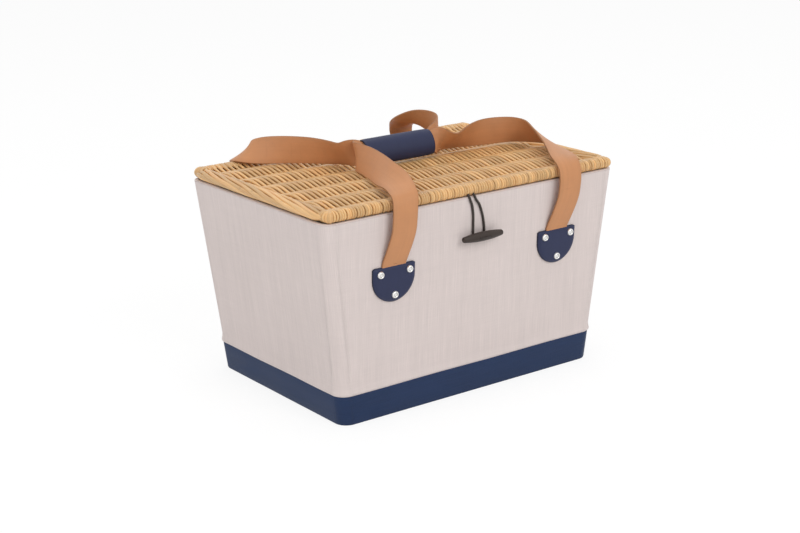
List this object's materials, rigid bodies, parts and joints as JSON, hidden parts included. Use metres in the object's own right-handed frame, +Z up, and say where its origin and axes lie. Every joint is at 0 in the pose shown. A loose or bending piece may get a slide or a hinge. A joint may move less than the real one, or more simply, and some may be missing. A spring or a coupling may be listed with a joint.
{
  "type": "picnic basket",
  "caption": "Tapered canvas-covered picnic basket with a hinged woven willow lid, leather carrying straps, a padded grip and a toggle closure.",
  "frame": {"origin": "middle of the underside", "axes": "+Z up, +X along the basket's length, -Y towards the front with the toggle"},
  "size_m": [0.462, 0.3361, 0.3222],
  "materials": {
    "canvas": "slubbed linen canvas",
    "navy_cloth": "grained leatherette",
    "navy_leather": "smooth leather with dark cut edges",
    "tan_leather": "smooth vegetable-tanned leather",
    "willow": "peeled willow",
    "board": "grey board",
    "lining": "plain cotton",
    "rivet": "polished nickel",
    "horn": "dark stained wood",
    "cord": "waxed cord",
    "padding": "felt"
  },
  "bodies": {
    "tub": {"base_sheet": "navy_leather", "base_board": "board", "base_band": "navy_cloth", "canvas_cover": "canvas", "front_board": "board", "back_board": "board", "left_board": "board", "right_board": "board", "lining": "lining", "rim_binding": "canvas", "front_left_strap_leg": "tan_leather", "front_right_strap_leg": "tan_leather", "back_left_strap_leg": "tan_leather", "back_right_strap_leg": "tan_leather", "front_left_patch": "navy_leather", "front_right_patch": "navy_leather", "back_left_patch": "navy_leather", "back_right_patch": "navy_leather", "front_left_rivets": "rivet", "front_right_rivets": "rivet", "back_left_rivets": "rivet", "back_right_rivets": "rivet", "left_hinge_tab": "tan_leather", "right_hinge_tab": "tan_leather", "hinge_tab_rivets": "rivet"},
    "lid": {"willow_weave": "willow", "front_border_rod": "willow", "back_border_rod": "willow", "stake_1": "willow", "stake_2": "willow", "stake_3": "willow", "stake_4": "willow", "stake_5": "willow", "left_border": "willow", "right_border": "willow"},
    "closure_loop": {"closure_loop": "cord"},
    "toggle": {"toggle_bar": "horn", "toggle_thread": "cord"},
    "front_handle": {"front_strap": "tan_leather", "grip_wrap": "navy_leather", "front_padding": "padding"},
    "grip_flap": {"grip_flap": "navy_leather", "back_padding": "padding"},
    "back_handle": {"back_strap": "tan_leather"}
  },
  "joints": [
    {"name": "lid_hinge", "type": "hinge", "parent": "tub", "child": "lid", "pos_m": [0, 0.1485, 0.2678], "axis": [-1, 0, 0], "range_deg": [0, 105]},
    {"name": "front_handle_swing", "type": "hinge", "parent": "tub", "child": "front_handle", "pos_m": [0, -0.166, 0.268], "axis": [1, 0, 0], "range_deg": [0, 250], "deforming": ["front_strap"]},
    {"name": "back_handle_swing", "type": "hinge", "parent": "tub", "child": "back_handle", "pos_m": [0, 0.166, 0.268], "axis": [-1, 0, 0], "range_deg": [0, 240], "deforming": ["back_strap"]},
    {"name": "flap_hinge", "type": "hinge", "parent": "front_handle", "child": "grip_flap", "pos_m": [0, 0.0204, 0.30836], "axis": [1, 0, 0], "range_deg": [0, 120]},
    {"name": "loop_swing", "type": "hinge", "parent": "lid", "child": "closure_loop", "pos_m": [0, -0.1533, 0.2646], "axis": [1, 0, 0], "range_deg": [0, 86], "deforming": ["closure_loop"]},
    {"name": "toggle_swivel", "type": "hinge", "parent": "tub", "child": "toggle", "pos_m": [0, -0.15231, 0.21], "axis": [0, -0.9986, -0.0538], "range_deg": [-90, 90]}
  ],
  "couplings": [
    {"joint": "front_handle_swing", "follows": "lid_hinge", "ratio": 2.3809},
    {"joint": "back_handle_swing", "follows": "lid_hinge", "ratio": 2.2857},
    {"joint": "flap_hinge", "follows": "lid_hinge", "ratio": 1.1428},
    {"joint": "loop_swing", "follows": "lid_hinge", "ratio": 0.81904}
  ]
}
